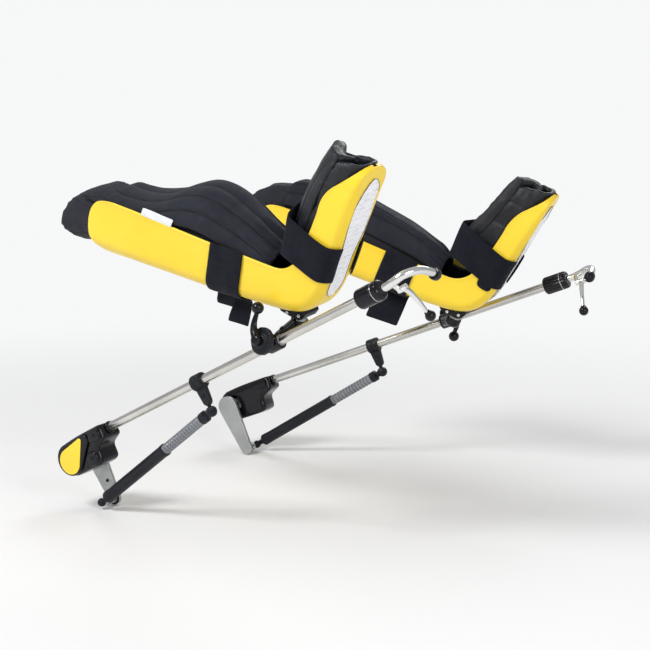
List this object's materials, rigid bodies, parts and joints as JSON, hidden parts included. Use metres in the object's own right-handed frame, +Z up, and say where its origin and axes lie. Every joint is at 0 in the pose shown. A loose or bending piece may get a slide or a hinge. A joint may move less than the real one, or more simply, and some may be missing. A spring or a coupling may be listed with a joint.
{
  "type": "leg stirrup pair",
  "caption": "Pair of padded boot leg stirrups for an operating table, with hip joints, lift-assist struts, sliding boot clamps and squeeze-handle releases.",
  "frame": {"origin": "on the inner (medial) face of the right mount plate, level with the right hip centre", "axes": "+X towards the foot end of the table, +Y towards the patient's left, +Z up"},
  "size_m": [0.9319, 0.9021, 0.7912],
  "materials": {
    "plate_grey": "satin cast aluminium",
    "steel": "polished stainless steel, fine lengthwise grain",
    "black_gloss": "gloss black moulding",
    "black_satin": "satin black coating",
    "yellow_shell": "semi-gloss moulded shell, bright yellow",
    "sleeve_grey": "dark grey ribbed sleeve",
    "pad_charcoal": "charcoal coated fabric over foam",
    "strap_black": "black woven webbing with hook-and-loop"
  },
  "bodies": {
    "base": {"right_mount_plate": "plate_grey", "right_hip_lug": "plate_grey", "right_strut_stud": "plate_grey", "left_mount_plate": "plate_grey", "left_hip_lug": "plate_grey", "left_strut_stud": "plate_grey"},
    "right_yoke": {"right_hip_yoke": "steel"},
    "right_leg": {"right_hip_housing": "black_gloss", "right_hip_cover": "black_gloss", "right_hip_badge": "yellow_shell", "right_main_rod": "steel", "right_strut_collar": "black_satin", "right_handle_hub": "black_gloss", "right_handle_tube": "steel", "right_handle_cap": "black_gloss"},
    "right_strut": {"right_strut_top": "black_satin", "right_strut_sleeve": "sleeve_grey"},
    "right_ram": {"right_strut_ram": "black_satin", "right_strut_foot": "black_satin"},
    "right_liner": {"right_clamp_liner": "plate_grey"},
    "right_clamp": {"right_clamp_block": "black_satin"},
    "right_knob": {"right_clamp_knob": "black_satin", "right_clamp_lever": "black_satin"},
    "right_ball": {"right_boot_ball": "steel"},
    "right_boot": {"right_boot_shell": "yellow_shell", "right_heel_bracket": "black_satin", "right_calf_pad": "pad_charcoal", "right_foot_pad": "pad_charcoal", "right_calf_strap": "strap_black", "right_foot_strap": "strap_black"},
    "right_trigger": {"right_trigger_lever": "steel", "right_trigger_ball": "black_gloss"},
    "right_release": {"right_release_rod": "steel"},
    "left_yoke": {"left_hip_yoke": "steel"},
    "left_leg": {"left_hip_housing": "black_gloss", "left_hip_cover": "black_gloss", "left_hip_badge": "yellow_shell", "left_main_rod": "steel", "left_strut_collar": "black_satin", "left_handle_hub": "black_gloss", "left_handle_tube": "steel", "left_handle_cap": "black_gloss"},
    "left_strut": {"left_strut_top": "black_satin", "left_strut_sleeve": "sleeve_grey"},
    "left_ram": {"left_strut_ram": "black_satin", "left_strut_foot": "black_satin"},
    "left_liner": {"left_clamp_liner": "plate_grey"},
    "left_clamp": {"left_clamp_block": "black_satin"},
    "left_knob": {"left_clamp_knob": "black_satin", "left_clamp_lever": "black_satin"},
    "left_ball": {"left_boot_ball": "steel"},
    "left_boot": {"left_boot_shell": "yellow_shell", "left_heel_bracket": "black_satin", "left_calf_pad": "pad_charcoal", "left_foot_pad": "pad_charcoal", "left_calf_strap": "strap_black", "left_foot_strap": "strap_black"},
    "left_trigger": {"left_trigger_lever": "steel", "left_trigger_ball": "black_gloss"},
    "left_release": {"left_release_rod": "steel"}
  },
  "joints": [
    {"name": "right_spread", "type": "hinge", "parent": "base", "child": "right_yoke", "pos_m": [0, -0.0515, 0], "axis": [0.4763, 0, -0.8793], "range_deg": [-14, 17]},
    {"name": "right_lift", "type": "hinge", "parent": "right_yoke", "child": "right_leg", "pos_m": [0, -0.0515, 0], "axis": [-0.0995, -0.9936, -0.0539], "range_deg": [-46, 42]},
    {"name": "right_strut_swing", "type": "hinge", "parent": "right_leg", "child": "right_strut", "pos_m": [0.35741, -0.09485, 0.13895], "axis": [-0.0995, -0.9936, -0.0539], "range_deg": [-1.76, 1.88]},
    {"name": "right_strut_slide", "type": "slide", "parent": "right_strut", "child": "right_ram", "axis": [-0.7876, 0.1118, -0.6059], "range_m": [-0.0765, 0.0699]},
    {"name": "right_clamp_slide", "type": "slide", "parent": "right_leg", "child": "right_liner", "axis": [0.8854, -0.1132, 0.4509], "range_m": [-0.12, 0.05]},
    {"name": "right_clamp_turn", "type": "hinge", "parent": "right_liner", "child": "right_clamp", "pos_m": [0.51941, -0.11947, 0.29372], "axis": [0.8854, -0.1132, 0.4509], "range_deg": [-12, 12]},
    {"name": "right_clamp_knob_turn", "type": "hinge", "parent": "right_clamp", "child": "right_knob", "pos_m": [0.51941, -0.11947, 0.29372], "axis": [-0.235, -0.9458, 0.224], "range_deg": [-60, 60]},
    {"name": "right_boot_tilt", "type": "hinge", "parent": "right_clamp", "child": "right_ball", "pos_m": [0.54644, -0.07035, 0.33502], "axis": [0.1118, 0.9838, 0.1398], "range_deg": [-14, 12]},
    {"name": "right_boot_swivel", "type": "hinge", "parent": "right_ball", "child": "right_boot", "pos_m": [0.54644, -0.07035, 0.33502], "axis": [0.3118, -0.1683, 0.9351], "range_deg": [-18, 18]},
    {"name": "right_trigger", "type": "hinge", "parent": "right_leg", "child": "right_trigger", "pos_m": [0.80513, -0.13697, 0.42247], "axis": [0.8854, -0.1132, 0.4509], "range_deg": [0, 14], "stiffness_Nm_per_rad": 0.25, "springref_deg": -11.46},
    {"name": "right_release", "type": "hinge", "parent": "right_leg", "child": "right_release", "pos_m": [-0.01181, -0.05157, 0.02316], "axis": [0.8854, -0.1132, 0.4509], "range_deg": [-1, 15]},
    {"name": "left_spread", "type": "hinge", "parent": "base", "child": "left_yoke", "pos_m": [0, 0.5835, 0], "axis": [-0.4763, 0, 0.8793], "range_deg": [-14, 17]},
    {"name": "left_lift", "type": "hinge", "parent": "left_yoke", "child": "left_leg", "pos_m": [0, 0.5835, 0], "axis": [0.0995, -0.9936, 0.0539], "range_deg": [-41, 47]},
    {"name": "left_strut_swing", "type": "hinge", "parent": "left_leg", "child": "left_strut", "pos_m": [0.36923, 0.62613, 0.10386], "axis": [0.0995, -0.9936, 0.0539], "range_deg": [-1.91, 1.73]},
    {"name": "left_strut_slide", "type": "slide", "parent": "left_strut", "child": "left_ram", "axis": [-0.8407, -0.113, -0.5296], "range_m": [-0.0711, 0.0814]},
    {"name": "left_clamp_slide", "type": "slide", "parent": "left_leg", "child": "left_liner", "axis": [0.9248, 0.1124, 0.3635], "range_m": [-0.12, 0.05]},
    {"name": "left_clamp_turn", "type": "hinge", "parent": "left_liner", "child": "left_clamp", "pos_m": [0.52592, 0.64892, 0.23463], "axis": [0.9248, 0.1124, 0.3635], "range_deg": [-12, 12]},
    {"name": "left_clamp_knob_turn", "type": "hinge", "parent": "left_clamp", "child": "left_knob", "pos_m": [0.52592, 0.64892, 0.23463], "axis": [-0.2081, 0.9492, 0.2361], "range_deg": [-60, 60]},
    {"name": "left_boot_tilt", "type": "hinge", "parent": "left_clamp", "child": "left_ball", "pos_m": [0.56676, 0.59446, 0.24934], "axis": [-0.1539, 0.9849, 0.079], "range_deg": [-14, 8]},
    {"name": "left_boot_swivel", "type": "hinge", "parent": "left_ball", "child": "left_boot", "pos_m": [0.56676, 0.59446, 0.24934], "axis": [0.4299, -0.0052, 0.9029], "range_deg": [-18, 18]},
    {"name": "left_trigger", "type": "hinge", "parent": "left_leg", "child": "left_trigger", "pos_m": [0.8421, 0.66836, 0.34304], "axis": [-0.9248, -0.1124, -0.3635], "range_deg": [0, 14], "stiffness_Nm_per_rad": 0.25, "springref_deg": -11.46},
    {"name": "left_release", "type": "hinge", "parent": "left_leg", "child": "left_release", "pos_m": [-0.00955, 0.58386, 0.02418], "axis": [-0.9248, -0.1124, -0.3635], "range_deg": [-1, 15]}
  ],
  "couplings": [
    {"joint": "right_strut_swing", "follows": "right_lift", "ratio": -0.03},
    {"joint": "right_strut_slide", "follows": "right_lift", "m_per_rad": 0.094},
    {"joint": "right_release", "follows": "right_trigger", "ratio": 1},
    {"joint": "left_strut_swing", "follows": "left_lift", "ratio": -0.03},
    {"joint": "left_strut_slide", "follows": "left_lift", "m_per_rad": 0.098},
    {"joint": "left_release", "follows": "left_trigger", "ratio": 1}
  ]
}
